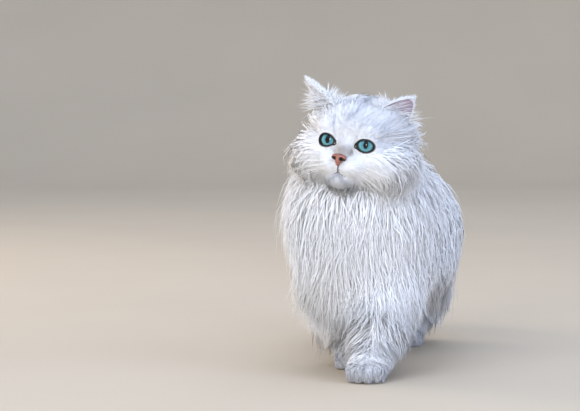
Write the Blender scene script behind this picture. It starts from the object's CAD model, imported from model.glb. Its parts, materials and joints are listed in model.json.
import json
import math

import bmesh
import bpy
import numpy as np
from bpy.props import FloatProperty, FloatVectorProperty, IntProperty, PointerProperty
from bpy.types import Operator, Panel, PropertyGroup
from mathutils import Matrix, Vector
from mathutils.kdtree import KDTree

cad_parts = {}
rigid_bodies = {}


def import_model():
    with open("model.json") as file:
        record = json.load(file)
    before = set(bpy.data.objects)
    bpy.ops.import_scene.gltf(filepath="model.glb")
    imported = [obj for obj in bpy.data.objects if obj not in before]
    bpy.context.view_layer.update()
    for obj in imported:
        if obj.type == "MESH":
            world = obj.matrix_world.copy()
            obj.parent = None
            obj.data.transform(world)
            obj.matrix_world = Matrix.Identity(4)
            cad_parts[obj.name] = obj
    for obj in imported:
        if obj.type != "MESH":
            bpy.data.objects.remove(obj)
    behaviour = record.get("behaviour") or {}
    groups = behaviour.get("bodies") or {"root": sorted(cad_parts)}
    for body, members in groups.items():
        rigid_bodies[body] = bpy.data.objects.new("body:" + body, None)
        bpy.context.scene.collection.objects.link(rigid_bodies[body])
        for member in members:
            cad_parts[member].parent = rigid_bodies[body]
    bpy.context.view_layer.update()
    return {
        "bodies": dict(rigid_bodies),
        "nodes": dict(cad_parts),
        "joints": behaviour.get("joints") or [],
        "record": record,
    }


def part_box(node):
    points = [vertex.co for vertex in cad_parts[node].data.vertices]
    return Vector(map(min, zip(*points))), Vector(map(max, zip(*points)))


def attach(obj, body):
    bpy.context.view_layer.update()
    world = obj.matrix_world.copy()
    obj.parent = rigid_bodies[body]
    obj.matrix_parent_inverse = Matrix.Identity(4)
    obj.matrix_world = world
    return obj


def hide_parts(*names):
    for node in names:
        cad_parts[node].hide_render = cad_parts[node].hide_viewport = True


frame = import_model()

bl_info = {
    "name": "Walking long-haired cat",
    "version": (1, 0, 0),
    "blender": (4, 5, 0),
    "location": "View3D > Sidebar > Cat",
    "description": "A life-size white Persian cat in mid stride, with a coat of solid tufts",
    "category": "Add Mesh",
}

# Lengths here are millimetres in the cat's own layout: it looks along -Y, its left side is +X, and the
# floor is at 0. place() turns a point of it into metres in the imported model's frame.
MM = 0.001
HEAD_CENTRE = (0.0, -138.0, 255.0)
HEAD_TURN = (-11.2, 4.0, 8.0)           # degrees of yaw, pitch and roll
EYE_RADIUS = 12.0
EYE_PLACE = (20.3, -27.5, 0.0)          # from the head's centre
EYE_OUTWARD = 14.0                      # degrees
EYE_OPENING = (8.9, 6.3)                # half its width and height
NOSE_TOP = (0.0, -62.0, -10.0)          # the face's fur fans out from just before it
SIDES = {"left": 1, "right": -1}
BLEND_HEAD, BLEND_LIMB, BLEND_TRUNK, BLEND_ALL, BLEND_PAW = 2.2, 4.0, 6.0, 5.0, 1.6
TAIL_LINE = (
    ((0, 178, 200), 22), ((0, 214, 188), 17), ((-4, 250, 160), 14),
    ((-10, 284, 128), 11), ((-16, 316, 104), 8), ((-20, 344, 94), 4),
)
TRUNK_MASSES = (
    ((0, -106, 140), (60, 44, 66)), ((0, -50, 161), (68, 86, 71)), ((0, 50, 148), (68, 92, 62)),
    ((0, 45, 84), (44, 84, 20)), ((0, 68, 184), (54, 96, 48)), ((0, 140, 168), (58, 60, 62)),
    ((0, -116, 186), (50, 36, 40)),
)
NECK_LINE = (((0, -92, 225), 40), ((0, -84, 190), 54))
# Each leg's shoulder or thigh, its joints with their radii, and its paw's centre, yaw and radii
LEGS = {
    "fore_left": (
        ((50, -86, 154), (24, 42, 58)),
        (((46, -86, 150), 30), ((44, -90, 120), 26), ((34, -116, 84), 21), ((24, -146, 46), 18),
         ((20, -158, 24), 16)),
        (18, -167, 13), -4, (18.8, 27, 15.5),
    ),
    "fore_right": (
        ((-50, -86, 154), (24, 42, 58)),
        (((-46, -86, 150), 30), ((-42, -86, 120), 26), ((-31, -74, 82), 21), ((-18, -58, 46), 18),
         ((-13, -57, 24), 16)),
        (-12, -66, 13), 2, (18.8, 27, 15.5),
    ),
    "hind_left": (
        ((50, 142, 142), (24, 50, 62)),
        (((46, 132, 140), 36), ((46, 112, 104), 27), ((40, 140, 76), 21), ((33, 172, 54), 15),
         ((26, 162, 28), 14)),
        (22, 146, 11), 2, (17.5, 26, 13.5),
    ),
    "hind_right": (
        ((-50, 138, 141), (24, 50, 62)),
        (((-46, 124, 140), 36), ((-46, 98, 104), 28), ((-40, 116, 76), 21), ((-33, 134, 52), 15),
         ((-26, 112, 28), 14)),
        (-22, 94, 11), -2, (17.5, 26, 13.5),
    ),
}
TOES = ((-13.2, -19), (-4.8, -25), (4.8, -25), (13.2, -19))
# The head's masses in its own frame, mirrored where the first number isn't 0, less the coat's depth
HEAD_MASSES = (
    ((0, 6, 12), (46, 46, 38), 5.0),            # skull
    ((0, -17, 16), (28, 25, 22), 3.0),          # forehead
    ((19, -25, 14), (17, 15, 12), 2.2),         # brow
    ((23, -26, -15), (17, 15, 12), 2.2),        # below the eye
    ((30, -6, -17), (27, 32, 26), 4.0),         # cheek
    ((0, -42.5, -10), (7.2, 8, 7.4), 0.8),      # end of the nose's bridge
    ((0, -34, -1), (8.5, 9, 10), 1.5),          # between the eyes
    ((10.5, -41, -25), (13, 12, 10.5), 1.8),    # whisker pad
    ((0, -20, -24), (34, 28, 21), 3.0),         # lower face
    ((0, -36.5, -38), (15, 10.5, 9), 2.0),      # chin
)
LID_RADIUS = 13.2
EAR_HEIGHT = {"left": 42.0, "right": 52.5}
GAZE = {"left": (6.0, 9.0), "right": (-9.0, 9.0)}      # degrees to its left and up
FACE_MIDDLE = (0.0, -50.0, -16.0)       # in the head's frame; the fur grows longer away from it
# The nose leather and its nostrils, and the lines of the mouth as (across, up), in the head's frame
NOSE_MASSES = (
    ((0, -51.5, -15.0), (7.4, 4.6, 2.9)), ((0, -52.4, -18.5), (3.0, 4.2, 4.0)),
    ((0, -51.6, -22.4), (1.5, 3.4, 3.0)), ((5.4, -51.2, -16.8), (2.7, 3.6, 2.3)),
)
NOSTRILS = (((4.2, -56.4, -17.4), (1.9, 4.6, 1.6)), ((6.6, -55.0, -18.8), (2.2, 4.6, 1.1)))
NOSE_STEP = 0.4
CLEFT = ((0, -24.5), (0, -27), (0, -29.5), (0, -31.4))
LIP = ((0, -31), (2, -32.6), (4, -34.0), (6, -35.2), (8, -36.2))
EAR_BOW = math.radians(62)              # how far each half of an ear curls
EAR_HALF_WIDTH = 18.0
EAR_SUNK = 10.0                         # its root is that far inside the head
# Hair of the ears. Pairs hold what the left ear has and what the right one has. "lie" is how far the hair
# follows the ear's rise, its outer side and its edge. "toward", in the ear's frame, and "aim", in the layout,
# add a direction whose first number is mirrored.
EAR_HAIR = {
    "back": {
        "count": (1100, 1100), "span": ((7, 13), (7, 13)), "taper": (1.15, 0.4), "lie": (1, 0.34, 0),
        "width": (0.6, 0.95),
    },
    "rim": {"count": (150, 450), "span": ((2, 5), (4, 8)), "lie": (0.8, 0.1, 0.45), "width": (0.35, 0.6)},
    # Long wisps spill out of the opening
    "wisps": {
        "count": (300, 300), "across": 0.9, "up": ((0.12, 0.28), (0.12, 0.55)), "span": ((8, 16), (14, 28)),
        "lie": (0.75, 0.55, 0), "toward": (0.25, 0, 0), "droop": 0.2, "width": (0.5, 0.9), "inside": True,
    },
    "lining": {
        "count": (240, 300), "across": 0.95, "up": ((0.1, 0.36), (0.1, 0.92)), "span": ((8, 14), (8, 14)),
        "taper": (1.15, 0.5), "lie": (1, 0.30, 0), "width": (0.7, 1.0), "inside": True,
    },
    # The crest fills the angle between the ear and the crown
    "crest": {
        "count": (110, 110), "up": ((0.15, 0.5), (0.15, 0.5)), "span": ((10, 20), (10, 20)),
        "lie": (0, 0, 0), "aim": (-0.35, 0.2, 0.9), "stray": 2.2, "width": (0.35, 0.6),
    },
    # Long single hairs fan out sideways
    "spray": {
        "count": (80, 80), "across": 0.7, "up": ((0.2, 0.5), (0.2, 0.5)), "span": ((22, 40), (22, 40)),
        "lie": (0, 0, 0), "aim": (1.0, -0.35, 0.1), "stray": 2.0, "droop": 0.15, "width": (0.42, 0.58),
        "inside": True,
    },
}
# How many tufts each piece of the coat has
TUFTS = {
    "coat_face": 10000, "coat_face_outer": 6800, "coat_ruff": 10000, "coat_chest": 10500,
    "coat_bib": 9200, "coat_back": 7200, "coat_flank_left": 7000, "coat_flank_right": 7000,
    "coat_legs_fore": 6000, "coat_legs_hind": 5000, "coat_paws_fore": 3100, "coat_paws_hind": 2100,
    "coat_tail": 5500,
}
TUFT_STEPS = 3                          # straight lengths along a tuft
PER_LOCK = 12                           # tufts to a small lock, and a large one has six times as many
PATCH = 0.003                           # of the OFBake map, across each tuft
FLUFF = 0.9                             # share of the body's own direction in a tuft's shading
# The stage, in metres: each lamp's place, aim, size, watts and colour
LAMPS = {
    "key": ((-0.9, -2.5, 1.05), (0, -0.1, 0.16), (1.8, 1.5), 45, "#eff4ff"),
    "window": ((-2.0, 0.8, 1.1), (0, 0, 0.18), (0.9, 1.4), 22, "#ffe2bd"),
    "fill": ((2.2, -1.2, 1.1), (0, 0, 0.16), (1.6, 1.6), 31, "#c6d9ff"),
    "top": ((0.1, 0.2, 2.3), (0, 0, 0.1), (1.6, 1.6), 10, "#e6eeff"),
    "catchlight": ((0.55, -2.3, 0.72), (0, -0.2, 0.25), (0.45, 0.45), 30, "#ffffff"),
}
AIR_COLOUR, AIR_STRENGTH = "#d3dff3", 1.36
CAMERA_AIM = (0, -130, 180)             # in the layout
CAMERA_AZIMUTH, CAMERA_ELEVATION, CAMERA_FAR = 8, 4, 2.5
CAMERA_FOCAL = 2273.0                   # in pixels of a picture PICTURE_WIDE across
PICTURE_WIDE = 580
CAMERA_SWING, CAMERA_NOD = 68, 6.5      # pixels from the aim to the picture's middle


def turn(yaw, pitch, roll):
    return (
        Matrix.Rotation(math.radians(yaw), 4, "Z")
        @ Matrix.Rotation(math.radians(-pitch), 4, "X")
        @ Matrix.Rotation(math.radians(roll), 4, "Y")
    )


HEAD = Matrix.Translation(HEAD_CENTRE) @ turn(*HEAD_TURN)


def eye_frame(side):
    across, ahead, up = EYE_PLACE
    return (
        HEAD @ Matrix.Translation((side * across, ahead, up))
        @ Matrix.Rotation(math.radians(side * EYE_OUTWARD), 4, "Z")
    )


def ear_frame(side):
    # The left ear leans back a little, and the right one outward
    splay, lean, out = (38, -4, 42) if side > 0 else (47, 12, 58)
    return (
        HEAD @ Matrix.Translation((side * 34, 0, 31))
        @ Matrix.Rotation(math.radians(side * splay), 4, "Y")
        @ Matrix.Rotation(math.radians(lean), 4, "X")
        @ Matrix.Rotation(math.radians(side * out), 4, "Z")
    )


def find_shift():
    """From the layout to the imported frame: both eyes' boxes say where the head went."""
    shifts = []
    for name, side in SIDES.items():
        low, high = (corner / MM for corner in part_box("eye_" + name))
        seen = Vector(((low.x + high.x) / 2, high.y - EYE_RADIUS, (low.z + high.z) / 2))
        shifts.append(seen - eye_frame(side).translation)
    middle = (shifts[0] + shifts[1]) / 2
    return np.array((middle.x, middle.y, 0.0))


SHIFT = find_shift()


def place(points):
    return (np.asarray(points, float) + SHIFT) * MM


def moved(points, matrix):
    """The points turned and shifted by a matrix."""
    matrix = np.array(matrix)
    return points @ matrix[:3, :3].T + matrix[:3, 3]


def points_of(mesh):
    """A mesh's vertices in the layout."""
    found = np.empty(len(mesh.vertices) * 3, np.float32)
    mesh.vertices.foreach_get("co", found)
    return found.reshape(-1, 3) / MM - SHIFT


def move_points(mesh, points):
    mesh.vertices.foreach_set("co", place(points).astype(np.float32).ravel())
    mesh.update()


def paint(mesh, name, numbers):
    """A number at each vertex, which materials read by that name."""
    layer = mesh.attributes.new(name, "FLOAT", "POINT")
    layer.data.foreach_set("value", np.asarray(numbers, np.float32).ravel())


# ---------------------------------------------------------------- colours and materials


def from_hex(text):
    """An sRGB hex colour as linear red, green and blue."""
    parts = (int(text.lstrip("#")[i:i + 2], 16) / 255 for i in (0, 2, 4))
    return tuple(c / 12.92 if c <= 0.04045 else ((c + 0.055) / 1.055) ** 2.4 for c in parts)


def wire(tree, node, **inputs):
    """Sets or links the node's inputs by their names, or by _ and their number."""
    for name, value in inputs.items():
        socket = node.inputs[int(name[1:]) if name[0] == "_" else name.replace("_", " ")]
        if isinstance(value, bpy.types.NodeSocket):
            tree.links.new(value, socket)
        else:
            socket.default_value = value


def add(tree, kind, settings=(), stops=(), **inputs):
    """A node of that kind, with its settings, a ramp's stops, and its inputs set or linked."""
    made = tree.nodes.new("ShaderNode" + kind)
    for name, value in dict(settings).items():
        setattr(made, name, value)
    for i, (at, colour) in enumerate(stops):
        points = made.color_ramp.elements
        point = points[i] if i < 2 else points.new(at)
        point.position, point.color = at, (*colour, 1)
    wire(tree, made, **inputs)
    return made


def new_material(name):
    made = bpy.data.materials.new(name)
    made.use_nodes = True
    tree = made.node_tree
    return made, tree, tree.nodes["Principled BSDF"]


def shaded(tree, colour, look):
    """The same two smoky shades on hair and down, as strong as the markings say at that place."""
    for name, shade in (("mark", look.shade), ("mark_cool", look.shade_cool)):
        mark = add(tree, "Attribute", {"attribute_name": name}).outputs["Fac"]
        mixed = add(tree, "Mix", {"data_type": "RGBA"}, Factor=mark, A=colour, B=(*shade, 1))
        colour = mixed.outputs["Result"]
    return colour


def guard_hair(look):
    """Combed white keratin hair: pale tips over a cooler, greyer depth, with a soft broken gloss."""
    made, tree, shader = new_material("guard_hair_white_combed")
    tone = add(tree, "Attribute", {"attribute_name": "tone"}).outputs["Fac"]
    where = add(tree, "TexCoord").outputs["Object"]
    # Locks about 35 mm apart differ a little
    drift = add(tree, "TexNoise", Vector=where, Scale=28.0, Detail=2.0).outputs["Fac"]
    tone = add(tree, "Math", {"operation": "MULTIPLY_ADD"}, _0=drift, _1=0.22, _2=tone).outputs[0]
    stops = ((0.10, look.coat_depth), (0.62, look.coat_middle), (1.0, look.coat_tip))
    colour = shaded(tree, add(tree, "ValToRGB", stops=stops, _0=tone).outputs["Color"], look)
    wire(tree, shader, Base_Color=colour, Roughness=0.6, IOR=1.55, Specular_IOR_Level=0.2)
    return made


def skin_under_fur(look):
    """Pale skin under dense down: the down hides its pores, and lids and lips are dark."""
    made, tree, shader = new_material("skin_pale_with_down")
    dark = add(tree, "Attribute", {"attribute_name": "dark"}).outputs["Fac"]
    where = add(tree, "TexCoord").outputs["Object"]
    # Down lies in strokes of about 1.5 mm
    down = add(tree, "TexNoise", Vector=where, Scale=600.0, Detail=3.0).outputs["Fac"]
    stops = ((0.0, look.down), (0.6, from_hex("#8a8078")), (1.0, from_hex("#1a1516")))
    colour = shaded(tree, add(tree, "ValToRGB", stops=stops, _0=dark).outputs["Color"], look)
    bump = add(tree, "Bump", Strength=0.5, Distance=0.0008, Height=down).outputs["Normal"]
    wire(tree, shader, Base_Color=colour, Roughness=0.8, Normal=bump)
    return made


def wet_iris(look):
    """A living eye under its tear film: fibres run from the pupil to a pale outer ring."""
    made, tree, shader = new_material("eye_iris_wet")
    where = add(tree, "TexCoord").outputs["Object"]
    rounds = []
    # The iris is round, and the pupil is narrower than it is tall
    for across in (1.0, 1.75):
        flat = add(tree, "VectorMath", {"operation": "MULTIPLY"}, _0=where, _1=(across, 0, 1)).outputs[0]
        rounds.append(add(tree, "VectorMath", {"operation": "LENGTH"}, _0=flat).outputs["Value"])
    radius, pupil = rounds
    parts = add(tree, "SeparateXYZ", Vector=where).outputs
    angle = add(tree, "Math", {"operation": "ARCTAN2"}, _0=parts["Z"], _1=parts["X"]).outputs[0]
    around = add(tree, "Math", {"operation": "MULTIPLY"}, _0=angle, _1=5.0).outputs[0]
    outward = add(tree, "Math", {"operation": "MULTIPLY"}, _0=radius, _1=90.0).outputs[0]
    along = add(tree, "CombineXYZ", X=around, Y=outward).outputs[0]
    fibres = add(tree, "TexNoise", Vector=along, Scale=2.4, Detail=4.0).outputs["Fac"]
    wavy = add(tree, "Math", {"operation": "MULTIPLY_ADD"}, _0=fibres, _1=0.0022, _2=radius).outputs[0]
    share = add(tree, "Math", {"operation": "MULTIPLY"}, _0=wavy, _1=95.0).outputs[0]
    stops = (
        (0.22, look.iris_inner), (0.50, look.iris_middle), (0.72, look.iris_outer),
        (0.92, from_hex("#0f2a2c")),
    )
    colour = add(tree, "ValToRGB", stops=stops, _0=share).outputs["Color"]
    # The upper lid and its lashes keep the top of the iris dim
    dim = add(tree, "MapRange", Value=parts["Z"], From_Min=0.0010, From_Max=0.0066, To_Max=0.75).outputs[0]
    under_lid = (*from_hex("#122224"), 1)
    lit = add(tree, "Mix", {"data_type": "RGBA"}, Factor=dim, A=colour, B=under_lid).outputs["Result"]
    edge = add(tree, "MapRange", Value=pupil, From_Min=0.0043, From_Max=0.0048).outputs[0]
    black = (*from_hex("#070a0d"), 1)
    seen = add(tree, "Mix", {"data_type": "RGBA"}, Factor=edge, A=black, B=lit).outputs["Result"]
    wire(
        tree, shader, Base_Color=seen, Roughness=0.45, IOR=1.38, Specular_IOR_Level=0.15,
        Coat_Weight=1.0, Coat_Roughness=0.02, Coat_IOR=1.38,
    )
    return made


def plain_skin(name, colour, roughness, grain, bump_mm, darker=0.6):
    """Bare skin with a fine cell pattern of that grain in millimetres, and blotches of about 4 mm."""
    made, tree, shader = new_material(name)
    where = add(tree, "TexCoord").outputs["Object"]
    cells = add(tree, "TexVoronoi", Vector=where, Scale=1 / (grain * MM)).outputs["Distance"]
    blotch = add(tree, "TexNoise", Vector=where, Scale=260.0, Detail=3.0).outputs["Fac"]
    stops = ((0.25, [c * darker for c in colour]), (0.75, colour))
    shades = add(tree, "ValToRGB", stops=stops, _0=blotch).outputs["Color"]
    dark = add(tree, "Attribute", {"attribute_name": "dark"}).outputs["Fac"]
    deep = (*from_hex("#2b1512"), 1)
    mixed = add(tree, "Mix", {"data_type": "RGBA"}, Factor=dark, A=shades, B=deep).outputs["Result"]
    bump = add(tree, "Bump", Strength=0.6, Distance=bump_mm * MM, Height=cells).outputs["Normal"]
    wire(tree, shader, Base_Color=mixed, Roughness=roughness, Normal=bump)
    return made


# ---------------------------------------------------------------- flesh as one smooth field


class Flesh:
    """Masses that melt into one another. read() gives the distance outside them and its direction."""

    def __init__(self):
        self.groups = []

    def group(self, name, blend):
        self.groups.append({"name": name, "blend": blend, "shapes": []})
        return self

    def mass(self, centre, radii, at=Matrix.Identity(4)):
        spin = np.array(at.to_3x3())
        middle = np.array(at @ Vector(centre))
        radii = np.array(radii, float)
        half = np.sqrt(((spin * radii) ** 2).sum(1))
        squeeze = (spin / radii).T
        self.groups[-1]["shapes"].append(("mass", middle, squeeze, middle - half, middle + half))
        return self

    def pair(self, centre, radii, at):
        """A mass, and its mirror image where it isn't in the middle."""
        for side in ((1, -1) if centre[0] else (1,)):
            self.mass((side * centre[0], *centre[1:]), radii, at)

    def limb(self, joints):
        for (a, ra), (b, rb) in zip(joints, joints[1:]):
            a, b = np.array(a, float), np.array(b, float)
            wide = max(ra, rb)
            low, high = np.minimum(a, b) - wide, np.maximum(a, b) + wide
            self.groups[-1]["shapes"].append(("limb", (a, b - a, ra, rb - ra), None, low, high))
        return self

    @staticmethod
    def one(shape, points):
        kind, where, squeeze = shape[:3]
        if kind == "mass":
            inner = (points - where) @ squeeze.T
            size = np.linalg.norm(inner, axis=-1) + 1e-9
            slope = inner @ squeeze
            steep = np.linalg.norm(slope, axis=-1) + 1e-9
            return size * (size - 1) / steep, slope / steep[..., None]
        start, along, radius, more = where
        t = np.clip(((points - start) @ along) / (along @ along), 0, 1)
        away = points - (start + t[..., None] * along)
        far = np.linalg.norm(away, axis=-1) + 1e-9
        return far - (radius + more * t), away / far[..., None]

    def read(self, points, labels=False):
        total = np.zeros(len(points))
        slope = np.zeros((len(points), 3))
        nearest = []
        for group in self.groups:
            inside = np.zeros(len(points))
            lean = np.zeros((len(points), 3))
            for shape in group["shapes"]:
                value, direction = self.one(shape, points)
                weight = np.exp(np.clip(-value / group["blend"], -90, 90))
                inside += weight
                lean += weight[:, None] * direction
            value = -group["blend"] * np.log(inside)
            nearest.append(value)
            weight = np.exp(np.clip(-value / BLEND_ALL, -90, 90))
            total += weight
            slope += weight[:, None] * lean / inside[:, None]
        slope /= np.linalg.norm(slope, axis=1)[:, None] + 1e-9
        value = -BLEND_ALL * np.log(total)
        return (value, slope, np.argmin(nearest, axis=0)) if labels else (value, slope)

    def grid(self, step, margin=14.0):
        low = np.min([s[3] for g in self.groups for s in g["shapes"]], axis=0) - 3 * step
        high = np.max([s[4] for g in self.groups for s in g["shapes"]], axis=0) + 3 * step
        low[2] = min(low[2], -3 * step)
        count = np.ceil((high - low) / step).astype(int) + 1
        total = np.zeros(count)
        for group in self.groups:
            inside = np.zeros(count)
            for shape in group["shapes"]:
                first = np.maximum(np.floor((shape[3] - margin - low) / step).astype(int), 0)
                last = np.minimum(np.ceil((shape[4] + margin - low) / step).astype(int) + 1, count)
                axes = [low[i] + step * np.arange(first[i], last[i]) for i in range(3)]
                points = np.stack(np.meshgrid(*axes, indexing="ij"), axis=-1)
                value = self.one(shape, points)[0]
                window = tuple(slice(a, b) for a, b in zip(first, last))
                inside[window] += np.exp(np.clip(-value / group["blend"], -90, 90))
            total += np.maximum(inside, 1e-30) ** (group["blend"] / BLEND_ALL)
        return -BLEND_ALL * np.log(total), low


def net_of(values, low, step):
    """A closed net of quads where the field crosses zero."""
    cells = tuple(n - 1 for n in values.shape)
    count = np.zeros(cells)
    sums = np.zeros((3, *cells))
    crossings = []
    for axis in range(3):
        first = [slice(None)] * 3
        second = [slice(None)] * 3
        first[axis], second[axis] = slice(None, -1), slice(1, None)
        a, b = values[tuple(first)], values[tuple(second)]
        cross = (a < 0) != (b < 0)
        t = np.where(cross, a / np.where(cross, a - b, 1), 0)
        crossings.append((cross, a < 0))
        others = [i for i in range(3) if i != axis]
        for u in (0, 1):
            for v in (0, 1):
                take = [slice(None)] * 3
                take[others[0]] = slice(u, cells[others[0]] + u)
                take[others[1]] = slice(v, cells[others[1]] + v)
                here = cross[tuple(take)]
                count += here
                sums[axis] += t[tuple(take)]
                sums[others[0]] += here * u
                sums[others[1]] += here * v
    used = count > 0
    index = -np.ones(cells, int)
    index[used] = np.arange(used.sum())
    corner = np.stack(np.nonzero(used), axis=1)
    points = low + step * (corner + (sums[:, used] / count[used]).T)
    quads = []
    for axis, (cross, inward) in enumerate(crossings):
        others = [i for i in range(3) if i != axis]
        at = np.stack(np.nonzero(cross), axis=1)
        at = at[(at[:, others[0]] > 0) & (at[:, others[1]] > 0)]
        around = []
        for u, v in ((1, 1), (0, 1), (0, 0), (1, 0)):
            cell = at.copy()
            cell[:, others[0]] -= u
            cell[:, others[1]] -= v
            around.append(index[tuple(cell.T)])
        quad = np.stack(around, axis=1)
        flip = inward[tuple(at.T)] != (axis == 1)
        quad[~flip] = quad[~flip][:, ::-1]
        quads.append(quad)
    return points, np.concatenate(quads)


def mesh_of(name, points, faces):
    """A mesh object from points in layout millimetres."""
    mesh = bpy.data.meshes.new(name)
    faces = np.asarray(faces)
    sides = faces.shape[1]
    mesh.vertices.add(len(points))
    mesh.vertices.foreach_set("co", place(points).astype(np.float32).ravel())
    mesh.loops.add(faces.size)
    mesh.loops.foreach_set("vertex_index", faces.astype(np.int32).ravel())
    mesh.polygons.add(len(faces))
    mesh.polygons.foreach_set("loop_start", np.arange(0, faces.size, sides, dtype=np.int32))
    mesh.polygons.foreach_set("use_smooth", np.ones(len(faces), bool))
    mesh.update(calc_edges=True)
    obj = bpy.data.objects.new(name, mesh)
    bpy.context.scene.collection.objects.link(obj)
    return obj


def settle(flesh, points, rounds=3):
    for _ in range(rounds):
        value, slope = flesh.read(points)
        points = points - np.clip(value, -3, 3)[:, None] * slope
    return points


def cat_flesh():
    flesh = Flesh()
    flesh.group("head", BLEND_HEAD)
    for centre, radii, less in HEAD_MASSES:
        flesh.pair(centre, [r - less for r in radii], HEAD)
    for side in SIDES.values():
        flesh.mass((0, 0, 0), (LID_RADIUS,) * 3, eye_frame(side))
    flesh.group("trunk", BLEND_TRUNK).limb(NECK_LINE)
    for centre, radii in TRUNK_MASSES:
        flesh.mass(centre, [r - 2 for r in radii])
    paws = []
    for name, (limb_mass, joints, paw, yaw, size) in LEGS.items():
        flesh.group(name, BLEND_LIMB)
        flesh.mass(limb_mass[0], [r - 2 for r in limb_mass[1]])
        flesh.limb(joints)
        at = Matrix.Translation(paw) @ Matrix.Rotation(math.radians(yaw), 4, "Z")
        paws.append((at, size))
    flesh.group("tail", BLEND_LIMB).limb(TAIL_LINE)
    for at, size in paws:
        flesh.group("paw", BLEND_PAW).mass((0, 2, 1), size, at)
        for across, ahead in TOES:
            flesh.mass((across, ahead, -4.5), (6.0, 12, 10.2), at)
    return flesh


def in_head(points):
    """Layout points in the head's own frame."""
    return moved(points, HEAD.inverted())


def head_dirs(directions):
    return directions @ np.array(HEAD)[:3, :3].T


def in_eye(points, side):
    return moved(points, eye_frame(side).inverted())


def lid_ratio(eye):
    """For points in an eye's frame: below 1 inside the opening of its lids, and above 1 round it."""
    return np.sqrt((eye[:, 0] / EYE_OPENING[0]) ** 2 + (eye[:, 2] / EYE_OPENING[1]) ** 2)


def from_face(local):
    """How far points in the head's frame are from the middle of the face."""
    return np.linalg.norm(local - FACE_MIDDLE, axis=1)


def spot(x, z, at, wide, tall, strength):
    return strength * np.exp(-((x - at[0]) / wide) ** 2 - ((z - at[1]) / tall) ** 2)


def marks_of(points):
    """The warm and the cool smoky share there: on the nose's bridge, mouth, brow, belly and paws."""
    p = in_head(points)
    x, y, z = p[:, 0], p[:, 1], p[:, 2]
    away = np.abs(x)
    front = ease(-y, 22, 34)
    warm = front * (spot(away, z, (0, -8), 8.0, 5.0, 0.75) + spot(away, z, (7.6, -11.5), 2.4, 3.6, 0.6))
    paw = ease(26 - points[:, 2], 0, 10)
    belly = 0.15 * ease(125 - points[:, 2], 0, 50) * ease(points[:, 2], 26, 50)
    lips = -31 - 0.85 * away + 0.018 * away ** 2
    mouth = 0.5 * np.exp(-((z - lips) / 2.6) ** 2) * ease(34 - away, 0, 24) * ease(-y, 8, 26)
    under = 0.14 * ease(lips - z, 0, 6) * ease(away, 5, 13) * ease(30 - away, 0, 12) * ease(-y, 8, 26)
    cleft = front * spot(away, z, (0, -28), 1.3, 4.0, 0.7)
    top = ease(-y, -26, 2)
    streaks = (
        spot(x, z, (4, 41), 6.0, 5.5, 0.7) + spot(x, z, (-11, 37), 5.0, 3.0, 0.4)
        + spot(x - 0.5 * (z - 26), z, (2, 26), 1.7, 7.0, 0.7)
        + spot(x + 0.15 * (z - 14), z, (-14, 14), 1.7, 6.0, 0.6)
        + spot(x - 0.2 * (z - 14), z, (12, 15), 1.7, 5.5, 0.45)
        + spot(x, z, (29, 15), 10.0, 7.0, 0.22)
    ) * top
    chin = spot(away, z, (0, -41), 15, 9, 0.36) * ease(-y, 8, 26)
    brow = spot(away, z, (0, 24), 30, 18, 0.3) * top
    cool = mouth + under + cleft + chin + streaks + brow + 0.32 * paw
    return np.clip(np.stack([warm + belly + 0.26 * paw, cool], axis=1), 0, 0.7)


# ---------------------------------------------------------------- how the coat grows


def ease(x, low, high):
    t = np.clip((x - low) / (high - low), 0, 1)
    return t * t * (3 - 2 * t)


def unit(v):
    return v / (np.linalg.norm(v, axis=-1, keepdims=True) + 1e-9)


# Where the flesh's groups stand in their order: the legs lie between the trunk and the tail
HEAD_LABEL, TRUNK_LABEL, TAIL_LABEL = 0, 1, 6


def lie_of(points, labels):
    """Which way the coat runs there, before it is laid along the skin."""
    lie = np.zeros((len(points), 3))
    head = labels == HEAD_LABEL
    if head.any():
        local = in_head(points[head])
        out = local - np.array(NOSE_TOP)
        cheek = ease(np.abs(local[:, 0]), 14, 40) * ease(-local[:, 2], -12, 18)
        out = unit(out)
        out[:, 2] -= 0.75 * cheek
        out[:, 1] += 0.15 * cheek
        chin = ease(-local[:, 2], 26, 40) * ease(-local[:, 1], 0, 20)
        out[:, 2] -= 0.9 * chin
        for side in SIDES.values():
            eye = in_eye(points[head], side)
            near = np.exp(-(eye[:, 0] ** 2 + (eye[:, 2] * 1.2) ** 2) / 200.0)
            away = np.stack([eye[:, 0], 0 * eye[:, 0], eye[:, 2] * 1.2], axis=1)
            out += 0.9 * near[:, None] * unit(away)
        lie[head] = head_dirs(unit(out))
    trunk = labels == TRUNK_LABEL
    if trunk.any():
        p = points[trunk]
        chest = ease(-p[:, 1], 40, 90)
        low = ease(215 - p[:, 2], 0, 90)
        side = np.sign(p[:, 0]) * ease(np.abs(p[:, 0]), 4, 40)
        body = np.stack([0.25 * side * (1 - low), 1.0 - 0.68 * low, -0.15 - 0.85 * low], axis=1)
        bib = np.stack([0.30 * side, np.full(len(p), -0.10), np.full(len(p), -1.0)], axis=1)
        lie[trunk] = unit(body * (1 - chest[:, None]) + bib * chest[:, None])
    tail = labels == TAIL_LABEL
    if tail.any():
        line = np.array([j[0] for j in TAIL_LINE], float)
        along = np.zeros((tail.sum(), 3))
        best = np.full(tail.sum(), 1e9)
        for a, b in zip(line, line[1:]):
            t = np.clip(((points[tail] - a) @ (b - a)) / ((b - a) @ (b - a)), 0, 1)
            away = np.linalg.norm(points[tail] - (a + t[:, None] * (b - a)), axis=1)
            closer = away < best
            best[closer] = away[closer]
            along[closer] = unit(b - a)
        lie[tail] = unit(along + (0, 0, -0.35))
    leg = ~(head | trunk | tail)
    if leg.any():
        p = points[leg]
        toes = ease(24 - p[:, 2], 0, 14)
        lie[leg] = unit(np.stack([np.zeros(len(p)), 0.12 - 0.92 * toes, -1 + 0.55 * toes], axis=1))
    return lie


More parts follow.
